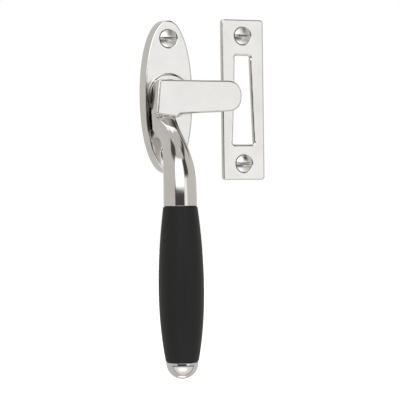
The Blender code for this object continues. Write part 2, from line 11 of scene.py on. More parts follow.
import bmesh
import bpy
import numpy as np
from mathutils import Matrix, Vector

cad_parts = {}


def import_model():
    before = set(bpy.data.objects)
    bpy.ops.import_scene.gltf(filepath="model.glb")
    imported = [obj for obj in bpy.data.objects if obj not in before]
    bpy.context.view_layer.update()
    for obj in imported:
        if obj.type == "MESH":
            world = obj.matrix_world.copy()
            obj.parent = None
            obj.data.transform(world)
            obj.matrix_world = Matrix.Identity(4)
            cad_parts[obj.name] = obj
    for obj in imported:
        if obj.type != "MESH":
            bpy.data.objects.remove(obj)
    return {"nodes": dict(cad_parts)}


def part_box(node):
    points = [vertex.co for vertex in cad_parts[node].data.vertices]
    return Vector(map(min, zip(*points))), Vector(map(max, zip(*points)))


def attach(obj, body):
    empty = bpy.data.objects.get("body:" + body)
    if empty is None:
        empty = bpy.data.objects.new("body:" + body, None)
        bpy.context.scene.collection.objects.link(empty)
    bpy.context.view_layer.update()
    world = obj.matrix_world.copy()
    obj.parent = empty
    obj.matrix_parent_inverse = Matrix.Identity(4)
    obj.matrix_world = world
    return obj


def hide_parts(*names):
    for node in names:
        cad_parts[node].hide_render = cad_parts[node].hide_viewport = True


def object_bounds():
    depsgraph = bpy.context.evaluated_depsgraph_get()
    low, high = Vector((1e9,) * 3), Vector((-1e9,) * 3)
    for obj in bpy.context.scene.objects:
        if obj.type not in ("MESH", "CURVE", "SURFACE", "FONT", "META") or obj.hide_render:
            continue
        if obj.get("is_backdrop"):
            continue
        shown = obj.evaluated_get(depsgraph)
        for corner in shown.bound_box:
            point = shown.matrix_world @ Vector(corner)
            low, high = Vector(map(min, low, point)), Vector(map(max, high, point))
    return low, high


TO_MM = 1000.0
MM = 0.001

# Fineness of the field meshes, millimetres; their grid passes the box by GRID_MARGIN cells
GRID_MARGIN = 1.5
STEP_LEVER = 0.26
STEP_ROSE = 0.28
STEP_STRIKE = 0.28
STEP_SCREW = 0.16

# Hidden and rear edges
BACK_EDGE = 0.25

# Where a surface leans, its sideways distance is scaled to keep the field's slope near 1
NECK_FIELD_SCALE = 0.75
THREAD_FIELD_SCALE = 0.72

# Rose
ROSE_SQUARENESS = 2.12
ROSE_DRAFT = 0.35
ROSE_FACE = 6.2
ROSE_EDGE = 0.62
BOSS_RADIUS = 8.5
BOSS_SLOPE = 74.0
BOSS_FILLET = 0.45
BOSS_EDGE = 0.35
BOSS_ROOT = 1.0
RECESS_RADIUS = 7.3
RECESS_DEPTH = 3.4
BORE_RADIUS = 4.05

# Lever: hub block, tongue and swept neck
LEVER_FRONT = 13.2
LEVER_EDGE = 0.62
HUB_LEFT_TOP = -7.15
HUB_LEFT_BOTTOM = -8.4
HUB_ROUND_TOP = 1.55
HUB_ROUND_BOTTOM = 1.6
HUB_BACK_ROUND = 1.3
HUB_BOTTOM_LEFT = -7.25
HUB_BOTTOM_RIGHT = -8.35
BLOCK_TOP = -3.0
BLOCK_RIGHT = 1.2
BLOCK_CORNER = 0.5
BLOCK_FILLET = 1.5
TONGUE_ROOT_X = 3.2
TONGUE_ROOT_Z = -7.05
TONGUE_END_Z = -6.15
TIP_START = 21.6
TIP_SQUARENESS = 2.35
NECK_TOP = -5.5
NECK_HALF_WIDTH_TOP = 3.85
NECK_FRONT_START = 12.4
NECK_FRONT_BEND = -7.8
NECK_FRONT_SOFTENING = 0.02
NECK_FRONT_POWER = 3.0
NECK_BACK_INSET = 0.05
NECK_BACK_BEND = -13.0
NECK_BACK_SOFTENING = 0.01
NECK_BACK_POWER = 3.9
NECK_WIDEN_FROM = -11.0
NECK_WIDEN_TO = -30.0
NECK_ROUND_FROM = -7.0
NECK_ROUND_TO = -29.0
NECK_ROUND_POWER = 1.5
NECK_SQUARENESS_TOP = 2.8
NECK_FILLET = 0.5
HEEL_WIDTH = 2.3
HEEL_TOP = -13.2
HEEL_END = -19.5
STUD_HOLE = 2.65
ROD_HOLE = 2.65
ROD_ENGAGE_NECK = 11.15
STUD_REACH = 4.75

# Grip and cap
GRIP_RADIUS_TOP = 6.5
GRIP_RADIUS_MAX = 8.64
GRIP_RADIUS_END = 6.25
GRIP_BELLY = 0.52
GRIP_CURVE_UPPER = 1.9
GRIP_CURVE_LOWER = 2.2
GRIP_CORNER = 0.75
GRIP_BORE = 2.8
GRIP_STATIONS = 150
GRIP_STEPS = 128
CAP_EDGE = 0.15
CAP_RIM = 0.4
CAP_HOLE = 2.65
CAP_HOLE_DEPTH = 3.95
CAP_STATIONS = 44
CAP_STEPS = 96
CORNER_STEPS = 6
CORNER_MEETS_SIDE = 10.0
SHARP_ANGLE = 40.0

# Faint waves that turning leaves along the grip: height, two rates and an offset
# between them; they fade out over one WAVE_FADE-th of the length at each end
WAVE_HEIGHT = 0.012
WAVE_FAST = 5.1
WAVE_SLOW = 1.7
WAVE_SHIFT = 0.6
WAVE_FADE = 20.0

# Strike plate
STRIKE_CORNER = 1.35
STRIKE_EDGE = 0.55
SLOT_SHIFT = -0.13
SLOT_TOP = 17.75
SLOT_BOTTOM = -17.95
SLOT_TOP_WIDTH = 6.4
SLOT_BOTTOM_WIDTH = 9.05
SLOT_CORNER = 0.8
SLOT_EDGE = 0.55
SLOT_END_EDGE = 0.9

# Screws and their seats
SINK_RADIUS = 3.7
SINK_DEPTH = 1.8
SEAT_EDGE = 0.15
SHANK_HOLE = 2.15
SCREW_CONE = 1.8
SCREW_SHANK = 1.9
SCREW_ROOT = 1.32
SCREW_PITCH = 1.6
SCREW_PLAIN = 5.0
SCREW_POINT = 4.5
SCREW_SLOT_WIDTH = 0.75
SCREW_SLOT_DEPTH = 1.1
SCREW_SLOT_EDGE = 0.08
SCREW_DOME = 0.95
SCREW_HEAD_DEPTH = 4.0
SCREW_HEAD_EDGE = 0.06
THREAD_STEEPNESS = 4.5
THREAD_RUN_IN = 1.2
POINT_TAPER = 0.8
POINT_BLUNTNESS = 0.02


# --------------------------------------------------------------- field algebra


def round_max(first, second, radius):
    """Intersection of two fields, with the outer edge rounded."""
    u, v = np.maximum(first + radius, 0.0), np.maximum(second + radius, 0.0)
    return np.hypot(u, v) + np.minimum(np.maximum(first + radius, second + radius), 0.0) - radius


def round_min(first, second, radius):
    """Union of two fields, with the inner corner filled by a fillet."""
    return -round_max(-first, -second, radius)


def smooth_step(value):
    value = np.clip(value, 0.0, 1.0)
    return value * value * (3.0 - 2.0 * value)


def half_plane(x, z, start, end):
    """Distance to the right of the line from start to end, in the (x, z) plane."""
    dx, dz = end[0] - start[0], end[1] - start[1]
    return ((x - start[0]) * dz - (z - start[1]) * dx) / math.hypot(dx, dz)


def superellipse(u, v, half_u, half_v, power):
    """Near-surface distance to the outline |u/half_u|^power + |v/half_v|^power = 1."""
    u, v = np.abs(u), np.abs(v)
    level = (u / half_u) ** power + (v / half_v) ** power
    g = np.maximum(level, 1e-3) ** (1.0 / power)
    slope_u = (np.maximum(u, 1e-6) / half_u) ** (power - 1.0) / half_u
    slope_v = (np.maximum(v, 1e-6) / half_v) ** (power - 1.0) / half_v
    return (g - 1.0) / (g ** (1.0 - power) * np.hypot(slope_u, slope_v))


def screw_seat(x, out, z, centre, face):
    """Shank hole and countersink of one screw: negative where metal is cut away."""
    rho = np.hypot(x - centre[0], z - centre[1])
    slope = (SINK_RADIUS - SHANK_HOLE) / SINK_DEPTH
    cone = (rho - SINK_RADIUS - (out - face) * slope) / math.hypot(1.0, slope)
    return np.minimum(cone, rho - SHANK_HOLE)


# --------------------------------------------------------------- field meshing


def crossing_cells(inside):
    """Cells of the grid that the surface passes through, and their numbers."""
    count = np.zeros([n - 1 for n in inside.shape], np.int8)
    for corner in np.ndindex(2, 2, 2):
        window = tuple(slice(c, c + n - 1) for c, n in zip(corner, inside.shape))
        count += inside[window]
    active = (count > 0) & (count < 8)
    number = np.full(active.shape, -1, np.int64)
    number[active] = np.arange(int(active.sum()))
    return np.argwhere(active), number


def cell_points(value, cells):
    """Mean of the points where the surface crosses each cell's twelve edges."""
    total = np.zeros(cells.shape, float)
    crossings = np.zeros(len(cells), float)
    for corner in np.ndindex(2, 2, 2):
        for axis in range(3):
            if corner[axis]:
                continue
            start = cells + corner
            end = start.copy()
            end[:, axis] += 1
            a, b = value[tuple(start.T)], value[tuple(end.T)]
            cut = (a < 0) != (b < 0)
            share = np.where(cut, a / np.where(cut, a - b, 1.0), 0.0)
            point = start.astype(float)
            point[:, axis] += share
            total += point * cut[:, None]
            crossings += cut
    return total / crossings[:, None]


def cell_quads(inside, number):
    """One quad for each grid edge that the surface crosses, facing outwards."""
    quads = []
    for axis in range(3):
        second, third = (axis + 1) % 3, (axis + 2) % 3
        start = [slice(None)] * 3
        start[axis] = slice(0, -1)
        end = [slice(None)] * 3
        end[axis] = slice(1, None)
        here = inside[tuple(start)]
        cut = here != inside[tuple(end)]
        at = np.argwhere(cut)
        at = at[(at[:, second] > 0) & (at[:, third] > 0)]
        corners = []
        for back_second, back_third in ((1, 1), (0, 1), (0, 0), (1, 0)):
            cell = at.copy()
            cell[:, second] -= back_second
            cell[:, third] -= back_third
            corners.append(number[tuple(cell.T)])
        quad = np.stack(corners, axis=1)
        flip = ~here[tuple(at.T)]
        quad[flip] = quad[flip][:, ::-1]
        quads.append(quad)
    return np.concatenate(quads)


def gradient(field, points):
    """Value and gradient of a field at scattered points."""
    small = 0.002
    value = field(points[:, 0], points[:, 1], points[:, 2])
    slopes = []
    for axis in range(3):
        moved = points.copy()
        moved[:, axis] += small
        ahead = field(moved[:, 0], moved[:, 1], moved[:, 2])
        moved[:, axis] -= 2.0 * small
        behind = field(moved[:, 0], moved[:, 1], moved[:, 2])
        slopes.append((ahead - behind) / (2.0 * small))
    return value, np.stack(slopes, axis=1)


def settle(field, points, rounds, reach):
    """Move points along the gradient until they lie on the surface."""
    for _ in range(rounds):
        value, slope = gradient(field, points)
        square = np.maximum((slope**2).sum(axis=1), 1e-6)
        move = (value / square)[:, None] * slope
        length = np.linalg.norm(move, axis=1)
        move *= np.minimum(1.0, reach / np.maximum(length, 1e-9))[:, None]
        points = points - move
    return points


def even_out(points, quads):
    """One step of the mean of each point's neighbours."""
    total = np.zeros_like(points)
    count = np.zeros(len(points))
    for a, b in ((0, 1), (1, 2), (2, 3), (3, 0)):
        for i, j in ((a, b), (b, a)):
            for axis in range(3):
                total[:, axis] += np.bincount(quads[:, i], points[quads[:, j], axis], len(points))
            count += np.bincount(quads[:, i], minlength=len(points))
    return total / np.maximum(count, 1.0)[:, None]


def field_object(name, field, low, high, step):
    """Closed mesh of a field's surface, with normals taken from the field itself."""
    margin = GRID_MARGIN * step
    axes = [np.arange(a - margin, b + margin + step, step) for a, b in zip(low, high)]
    x, out, z = np.meshgrid(*axes, indexing="ij", sparse=True)
    shape = [len(axis) for axis in axes]
    value = np.ascontiguousarray(np.broadcast_to(field(x, out, z), shape))
    inside = value < 0.0
    cells, number = crossing_cells(inside)
    points = cell_points(value, cells) * step + np.array([axis[0] for axis in axes])
    quads = cell_quads(inside, number)
    points = settle(field, points, rounds=2, reach=step)
    evened = 0.5 * (points + even_out(points, quads))
    points = settle(field, evened, rounds=3, reach=step)
    _, slope = gradient(field, points)
    normals = slope / np.maximum(np.linalg.norm(slope, axis=1), 1e-9)[:, None]
    place = points * MM * np.array((1.0, -1.0, 1.0))
    mesh = bpy.data.meshes.new(name)
    mesh.from_pydata(place.tolist(), [], quads[:, ::-1].tolist())
    mesh.shade_smooth()
    mesh.normals_split_custom_set_from_vertices((normals * (1.0, -1.0, 1.0)).tolist())
    mesh.update()
    item = bpy.data.objects.new(name, mesh)
    bpy.context.scene.collection.objects.link(item)
    return item


def box_mm(node):
    """A CAD node's box in millimetres, as (low, high) over (x, out, z)."""
    low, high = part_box(node)
    return (
        np.array((low.x, -high.y, low.z)) * TO_MM,
        np.array((high.x, -low.y, high.z)) * TO_MM,
    )


def centre_mm(node):
    low, high = box_mm(node)
    return (low + high) / 2.0


# ------------------------------------------------------------------ rose plate


def rose_field():
    low, high = box_mm("rose_plate")
    half_width, half_height = high[0], high[2]
    screws = [centre_mm("rose_screw_upper"), centre_mm("rose_screw_lower")]
    slope = math.radians(BOSS_SLOPE)
    middle = (ROSE_FACE + high[1]) / 2.0

    def field(x, out, z):
        shrink = ROSE_DRAFT * np.clip(out / ROSE_FACE, 0.0, 1.0)
        oval = superellipse(x, z, half_width - shrink, half_height - shrink, ROSE_SQUARENESS)
        plate = round_max(oval, out - ROSE_FACE, ROSE_EDGE)
        rho = np.hypot(x, z)
        side = (rho - BOSS_RADIUS) * math.sin(slope) + (out - middle) * math.cos(slope)
        boss = round_max(np.maximum(side, middle - BOSS_ROOT - out), out - high[1], BOSS_EDGE)
        body = round_min(plate, boss, BOSS_FILLET)
        body = round_max(body, -out, BACK_EDGE)
        recess = round_max(rho - RECESS_RADIUS, out - RECESS_DEPTH, BACK_EDGE)
        body = round_max(body, -recess, BACK_EDGE)
        body = round_max(body, BORE_RADIUS - rho, BACK_EDGE)
        for screw in screws:
            seat = screw_seat(x, out, z, screw[[0, 2]], ROSE_FACE)
            body = round_max(body, -seat, SEAT_EDGE)
        return body

    return field, low, high


# ----------------------------------------------------------------------- lever


def sweep_out(z, start, end, softening, power):
    """0 above `start`, then a quick rise that settles at 1 by the neck's lower end."""
    share = np.maximum(start - z, 0.0) / (start - end)
    eased = share * share / (share + softening)
    return 1.0 - (1.0 - np.minimum(eased * (1.0 + softening), 1.0)) ** power


def block_outline(x, z):
    """Front view of the block over the neck, and the tongue's lower edge."""
    under = half_plane(x, z, (HUB_LEFT_BOTTOM, HUB_BOTTOM_LEFT), (BLOCK_RIGHT, HUB_BOTTOM_RIGHT))
    block = round_max(under, x - BLOCK_RIGHT, BLOCK_CORNER)
    rise = (TONGUE_END_Z - TONGUE_ROOT_Z) / (TIP_START - TONGUE_ROOT_X)
    bottom = TONGUE_END_Z + rise * (np.minimum(x, TIP_START) - TIP_START)
    return block, under, bottom


def lever_field():
    low, high = box_mm("lever")
    back, top, end, tip = low[1], high[2], low[2], high[0]
    grip_x, grip_out, _ = centre_mm("grip")
    radius_end = high[1] - grip_out
    front_end, rear_end = grip_out + radius_end, grip_out - radius_end
    rear_start = back + NECK_BACK_INSET

    def hub_left(x, z):
        return half_plane(x, z, (HUB_LEFT_TOP, top), (HUB_LEFT_BOTTOM, HUB_BOTTOM_LEFT))

    def slab(x, out, z):
        block, under, bottom = block_outline(x, z)
        middle, half = (top + bottom) / 2.0, (top - bottom) / 2.0
        reach = np.maximum(x - TIP_START, 0.0)
        tongue = superellipse(reach, z - middle, tip - TIP_START, half, TIP_SQUARENESS)
        outline = round_min(tongue, np.maximum(block, z - BLOCK_TOP), BLOCK_FILLET)
        body = round_max(outline, out - LEVER_FRONT, LEVER_EDGE)
        down = np.clip((top - z) / (top - HUB_BOTTOM_LEFT), 0.0, 1.0)
        radius = HUB_ROUND_TOP + (HUB_ROUND_BOTTOM - HUB_ROUND_TOP) * down
        side = round_max(hub_left(x, z), out - LEVER_FRONT, radius)
        side = round_max(side, back - out, HUB_BACK_ROUND)
        side = round_max(side, np.maximum(z - top, under), LEVER_EDGE)
        body = np.maximum(body, side)
        return round_max(body, back - out, BACK_EDGE)

    def neck(x, out, z):
        front_sweep = sweep_out(z, NECK_FRONT_BEND, end, NECK_FRONT_SOFTENING, NECK_FRONT_POWER)
        rear_sweep = sweep_out(z, NECK_BACK_BEND, end, NECK_BACK_SOFTENING, NECK_BACK_POWER)
        front = NECK_FRONT_START + (front_end - NECK_FRONT_START) * front_sweep
        rear = rear_start + (rear_end - rear_start) * rear_sweep
        half_depth = (front - rear) / 2.0
        widen = smooth_step((NECK_WIDEN_FROM - z) / (NECK_WIDEN_FROM - NECK_WIDEN_TO))
        half_width = NECK_HALF_WIDTH_TOP + (half_depth - NECK_HALF_WIDTH_TOP) * widen
        roundness = smooth_step((NECK_ROUND_FROM - z) / (NECK_ROUND_FROM - NECK_ROUND_TO))
        squareness = (NECK_SQUARENESS_TOP - 2.0) * (1.0 - roundness) ** NECK_ROUND_POWER
        deep = np.clip((front - out) / (front - rear), 0.0, 1.0)
        heel = HEEL_WIDTH * deep * smooth_step((z - HEEL_END) / (HEEL_TOP - HEEL_END))
        across = np.where(x < grip_x, (x - grip_x) * half_width / (half_width + heel), x - grip_x)
        through = out - (front + rear) / 2.0
        section = superellipse(across, through, half_width, half_depth, 2.0 + squareness)
        section = np.maximum(section * NECK_FIELD_SCALE, z - NECK_TOP)
        section = round_max(section, hub_left(x, z), LEVER_EDGE)
        return round_max(section, end - z, BACK_EDGE)

    def field(x, out, z):
        body = round_min(slab(x, out, z), neck(x, out, z), NECK_FILLET)
        stud = np.maximum(np.hypot(x, z) - STUD_HOLE, out - back - STUD_REACH)
        rod = np.maximum(np.hypot(x - grip_x, out - grip_out) - ROD_HOLE, z - end - ROD_ENGAGE_NECK)
        return np.maximum(np.maximum(body, -stud), -rod)

    return field, low, high


# ---------------------------------------------------------------- strike plate


def strike_field():
    low, high = box_mm("strike_plate")
    centre = (low + high) / 2.0
    half = (high - low) / 2.0
    face = high[1]
    screws = [centre_mm("strike_screw_upper"), centre_mm("strike_screw_lower")]

    def field(x, out, z):
        across, up = np.abs(x - centre[0]) - half[0], np.abs(z - centre[2]) - half[2]
        outline = round_max(across, up, STRIKE_CORNER)
        plate = round_max(outline, out - face, STRIKE_EDGE)
        plate = round_max(plate, -out, BACK_EDGE)
        share = (centre[2] + SLOT_TOP - z) / (SLOT_TOP - SLOT_BOTTOM)
        slope = (SLOT_BOTTOM_WIDTH - SLOT_TOP_WIDTH) / 2.0 / (SLOT_TOP - SLOT_BOTTOM)
        half_slot = SLOT_TOP_WIDTH / 2.0 + (SLOT_BOTTOM_WIDTH - SLOT_TOP_WIDTH) / 2.0 * share
        sides = (np.abs(x - centre[0] - SLOT_SHIFT) - half_slot) / math.hypot(1.0, slope)
        ends = np.maximum(z - centre[2] - SLOT_TOP, centre[2] + SLOT_BOTTOM - z)
        opening = round_max(sides, ends, SLOT_CORNER)
        at_end = smooth_step((ends + 2.0 * SLOT_END_EDGE) / SLOT_END_EDGE)
        edge = SLOT_EDGE + (SLOT_END_EDGE - SLOT_EDGE) * at_end
        plate = round_max(plate, -opening, edge)
        for screw in screws:
            seat = screw_seat(x, out, z, screw[[0, 2]], face)
            plate = round_max(plate, -seat, SEAT_EDGE)
        return plate

    return field, low, high


# ---------------------------------------------------------------------- screws


def screw_field(node):
    """Slotted raised-head wood screw with a helical thread and a gimlet point."""
    low, high = box_mm(node)
    x0, _, z0 = centre_mm(node)
    head = (high[0] - low[0]) / 2.0
    face = high[1] - SCREW_DOME
    tip = low[1]
    sphere = (head**2 + SCREW_DOME**2) / (2.0 * SCREW_DOME)
    cone_slope = (head - SCREW_SHANK) / SCREW_CONE

    def field(x, out, z):
        dx, dz = x - x0, z - z0
        rho = np.hypot(dx, dz)
        dome = np.hypot(rho, out - (high[1] - sphere)) - sphere
        cone = (rho - head - (out - face) * cone_slope) / math.hypot(1.0, cone_slope)
        dome = np.maximum(dome, face - SCREW_HEAD_DEPTH - out)
        top = round_max(dome, cone, SCREW_HEAD_EDGE)
        depth = face - SCREW_CONE - SCREW_PLAIN - out
        turn = np.arctan2(dz, dx) / (2.0 * math.pi)
        phase = np.mod(depth / SCREW_PITCH + turn, 1.0)
        ridge = np.maximum(1.0 - np.abs(phase - 0.5) * THREAD_STEEPNESS, 0.0)
        start = smooth_step(depth / THREAD_RUN_IN)
        crest = SCREW_ROOT + (SCREW_SHANK - SCREW_ROOT) * (1.0 - start + start * ridge)
        taper = np.clip((out - tip) / SCREW_POINT, POINT_BLUNTNESS, 1.0) ** POINT_TAPER
        shank = (rho - crest * taper) * THREAD_FIELD_SCALE
        shank = np.maximum(np.maximum(shank, out - face), tip - out)
        body = np.minimum(top, shank)
        cut = np.maximum(np.abs(dz) - SCREW_SLOT_WIDTH / 2.0, high[1] - SCREW_SLOT_DEPTH - out)
        return round_max(body, -cut, SCREW_SLOT_EDGE)

    return field, low, high


# ------------------------------------------------------------- turned surfaces


def lathe(name, profile, steps, location):
    """Closed turned piece from a ring of (radius, height) points, shaded smooth."""
    count = len(profile)
    angles = np.linspace(0.0, 2.0 * math.pi, steps, endpoint=False)
    rings = []
    for radius, height in profile:
        ring = np.stack((radius * np.cos(angles), radius * np.sin(angles), 0 * angles + height), 1)
        rings.append(ring)
    points = np.concatenate(rings) * MM
    quads = []
    for i in range(count):
        j = (i + 1) % count
        if profile[i][0] < 1e-6 and profile[j][0] < 1e-6:
            continue
        for k in range(steps):
            m = (k + 1) % steps
            quads.append((i * steps + k, j * steps + k, j * steps + m, i * steps + m))
    bm = bmesh.new()
    verts = [bm.verts.new(point) for point in points.tolist()]
    for quad in quads:
        bm.faces.new([verts[i] for i in quad])
    bmesh.ops.remove_doubles(bm, verts=bm.verts[:], dist=1e-7)
    bmesh.ops.recalc_face_normals(bm, faces=bm.faces[:])
    mesh = bpy.data.meshes.new(name)
    bm.to_mesh(mesh)
    bm.free()
    mesh.shade_smooth()
    mesh.set_sharp_from_angle(angle=math.radians(SHARP_ANGLE))
    item = bpy.data.objects.new(name, mesh)
    item.location = [value * MM for value in location]
    bpy.context.scene.collection.objects.link(item)
    return item


def arc(centre, radius, start, end, steps):
    """Points on an arc of (radius, height), angles in degrees."""
    points = []
    for i in range(steps + 1):
        angle = math.radians(start + (end - start) * i / steps)
        radius_here = centre[0] + radius * math.cos(angle)
        points.append((radius_here, centre[1] + radius * math.sin(angle)))
    return points


def grip_radius(share):
    """Barrel radius at a share of the length, from the neck end."""
    if share < GRIP_BELLY:
        reach = (GRIP_BELLY - share) / GRIP_BELLY
        return GRIP_RADIUS_MAX - (GRIP_RADIUS_MAX - GRIP_RADIUS_TOP) * reach**GRIP_CURVE_UPPER
    reach = (share - GRIP_BELLY) / (1.0 - GRIP_BELLY)
    return GRIP_RADIUS_MAX - (GRIP_RADIUS_MAX - GRIP_RADIUS_END) * reach**GRIP_CURVE_LOWER


def grip_piece():
    """Barrel with rounded ends and a hair of lathe waviness along its length."""
    low, high = box_mm("grip")
    length = high[2] - low[2]
    share_corner = GRIP_CORNER / length
    side = []
    for i in range(GRIP_STATIONS + 1):
        share = share_corner + (1.0 - 2.0 * share_corner) * i / GRIP_STATIONS
        along = length * share
        fade = min(min(share, 1.0 - share) * WAVE_FADE, 1.0)
        wave = WAVE_HEIGHT * math.sin(along * WAVE_FAST) * math.sin(along * WAVE_SLOW + WAVE_SHIFT)
        side.append((grip_radius(share) + (wave - WAVE_HEIGHT) * fade, -along))
    top_centre = (side[0][0] - GRIP_CORNER, side[0][1])
    low_centre = (side[-1][0] - GRIP_CORNER, side[-1][1])
    profile = [(GRIP_BORE, 0.0)]
    profile += arc(top_centre, GRIP_CORNER, 90.0, CORNER_MEETS_SIDE, CORNER_STEPS)
    profile += side
    profile += arc(low_centre, GRIP_CORNER, -CORNER_MEETS_SIDE, -90.0, CORNER_STEPS)
    profile.append((GRIP_BORE, -length))
    centre = centre_mm("grip")
    return lathe("grip_barrel", profile, GRIP_STEPS, (centre[0], -centre[1], high[2]))


def cap_piece():
    """Domed cap nut with a softened rim and a blind hole for the rod."""
    low, high = box_mm("end_cap")
    radius = (high[0] - low[0]) / 2.0
    height = high[2] - low[2]
    dome = height - CAP_RIM
    profile = [(0.0, -CAP_HOLE_DEPTH), (CAP_HOLE, -CAP_HOLE_DEPTH), (CAP_HOLE, 0.0)]
    profile += arc((radius - CAP_EDGE, -CAP_EDGE), CAP_EDGE, 90.0, 0.0, CORNER_STEPS)
    for i in range(1, CAP_STATIONS):
        angle = math.radians(90.0 * i / CAP_STATIONS)
        profile.append((radius * math.cos(angle), -CAP_RIM - dome * math.sin(angle)))
    profile.append((0.0, -height))
    centre = centre_mm("end_cap")
    return lathe("cap_dome", profile, CAP_STEPS, (centre[0], -centre[1], high[2]))


# ------------------------------------------------------------------ node tools


def new_material(name):
    material = bpy.data.materials.new(name)
    material.use_nodes = True
    return material, material.node_tree, material.node_tree.nodes["Principled BSDF"]


def add_node(tree, kind, **settings):
    node = tree.nodes.new(kind)
    for key, value in settings.items():
        setattr(node, key, value)
    return node


def feed(tree, socket, value):
    """Link an output, or set a plain value, on an input socket."""
    if hasattr(value, "is_output"):
        tree.links.new(value, socket)
    else:
        socket.default_value = value


def calculate(tree, operation, first, second=0.0, clamp=False):
    node = add_node(tree, "ShaderNodeMath", operation=operation, use_clamp=clamp)
    feed(tree, node.inputs[0], first)
    feed(tree, node.inputs[1], second)
    return node.outputs["Value"]


def remap(tree, value, low, high, from_low=0.0, from_high=1.0, smooth=False):
    node = add_node(tree, "ShaderNodeMapRange")
    if smooth:
        node.interpolation_type = "SMOOTHSTEP"
    feed(tree, node.inputs["Value"], value)
    node.inputs["From Min"].default_value = from_low
    node.inputs["From Max"].default_value = from_high
    node.inputs["To Min"].default_value = low
    node.inputs["To Max"].default_value = high
    return node.outputs["Result"]


def rising(tree, value, start, end, full=1.0):
    """0 up to `start`, `full` from `end` on, smooth in between."""
    return remap(tree, value, 0.0, full, start, end, smooth=True)


def falling(tree, value, start, end, full=1.0):
    """`full` up to `start`, 0 from `end` on, smooth in between."""
    return remap(tree, value, full, 0.0, start, end, smooth=True)


def product(tree, *factors):
    result = factors[0]
    for factor in factors[1:]:
        result = calculate(tree, "MULTIPLY", result, factor)
    return result


def blend_values(tree, factor, first, second):
    node = add_node(tree, "ShaderNodeMix", data_type="FLOAT")
    feed(tree, node.inputs["Factor"], factor)
    feed(tree, node.inputs["A"], first)
    feed(tree, node.inputs["B"], second)
    return node.outputs["Result"]


def blend_colours(tree, factor, first, second):
    node = add_node(tree, "ShaderNodeMix", data_type="RGBA")
    tree.links.new(factor, node.inputs["Factor"])
    for name, value in (("A", first), ("B", second)):
        socket = next(s for s in node.inputs if s.name == name and s.type == "RGBA")
        feed(tree, socket, (*value, 1.0) if isinstance(value, tuple) else value)
    return next(s for s in node.outputs if s.type == "RGBA")


def axes_of(tree, source):
    """X, Y and Z of a texture coordinate, such as "Object" for the place on the object."""
    coordinates = add_node(tree, "ShaderNodeTexCoord")
    split = add_node(tree, "ShaderNodeSeparateXYZ")
    tree.links.new(coordinates.outputs[source], split.inputs["Vector"])
    return split.outputs


def stretched(tree, scale=(1.0, 1.0, 1.0)):
    coordinates = add_node(tree, "ShaderNodeTexCoord")
    mapping = add_node(tree, "ShaderNodeMapping")
    mapping.inputs["Scale"].default_value = scale
    tree.links.new(coordinates.outputs["Object"], mapping.inputs["Vector"])
    return mapping.outputs["Vector"]


def noise(tree, vector, scale, detail=4.0, roughness=0.5):
    node = add_node(tree, "ShaderNodeTexNoise")
    node.inputs["Scale"].default_value = scale
    node.inputs["Detail"].default_value = detail
    node.inputs["Roughness"].default_value = roughness
    tree.links.new(vector, node.inputs["Vector"])
    return node.outputs["Fac"]


def bump(tree, shader, height, strength, distance, under=None):
    """Relief on the shader's normal, on top of the relief that `under` gives."""
    node = add_node(tree, "ShaderNodeBump")
    node.inputs["Strength"].default_value = strength
    node.inputs["Distance"].default_value = distance
    tree.links.new(height, node.inputs["Height"])
    if under:
        tree.links.new(under, node.inputs["Normal"])
    tree.links.new(node.outputs["Normal"], shader.inputs["Normal"])
    return node.outputs["Normal"]


# ------------------------------------------------------------------- materials

NICKEL_CLEAN = (0.745, 0.725, 0.705)
NICKEL_DULL = (0.69, 0.67, 0.65)
# Painted shade: the dark colour that recesses and the shaded areas below are blended towards
PAINTED_SHADE_COLOUR = (0.045, 0.038, 0.033)
EBONY_DARK = (0.0083, 0.0085, 0.0088)
EBONY_LIGHT = (0.0165, 0.0163, 0.0163)
PLATE_GRAIN = (1.0, 1.0, 0.15)
FIBRES = (1.0, 1.0, 0.05)
LATHE_RINGS = (0.03, 0.03, 1.0)

# Shares of open sky between which a recess goes from full painted shade to none
RECESS_OPENNESS = (0.30, 0.62)
RECESS_SAMPLES = 6
RECESS_REACH = 0.9 * MM
RECESS_REACH_SCREW = 1.6 * MM
RECESS_REACH_LEVER = 1.8 * MM

# Each pair below is the span over which a shade comes or goes, of a place in metres
# or of a component of the surface's direction
# Painted shade on the lever: on the hub's back and in the corner under the tongue's root
HUB_BACK_SHADE_FACING_Y = (0.55, 0.9)
HUB_BACK_SHADE_Z = (-16.0 * MM, -13.0 * MM)
HUB_BACK_SHADE_STRENGTH = 0.85
ROOT_SHADE_FACING_Z = (-0.85, -0.4)
ROOT_SHADE_Z = (-9.5 * MM, -8.8 * MM)
ROOT_SHADE_LEFT = (0.4 * MM, 1.6 * MM)
ROOT_SHADE_RIGHT = (7.0 * MM, 12.0 * MM)
# Painted shade on the rose's face beside the hub
HUB_SIDE_FACING_Y = (-0.45, -0.1)
HUB_SIDE_LEFT = (-9.9 * MM, -9.2 * MM)
HUB_SIDE_RIGHT = (-7.2 * MM, -5.6 * MM)
HUB_SIDE_TOP = (0.5 * MM, 7.5 * MM)
HUB_SIDE_BOTTOM = (-16.0 * MM, -13.0 * MM)
HUB_SIDE_SHADE_STRENGTH = 0.84


def recess_shade(tree, distance):
    """Painted shade: 0 on open faces, rising to 1 in slots and gaps narrower than `distance`."""
    node = add_node(tree, "ShaderNodeAmbientOcclusion", samples=RECESS_SAMPLES)
    node.inputs["Distance"].default_value = distance
    return falling(tree, node.outputs["AO"], *RECESS_OPENNESS)


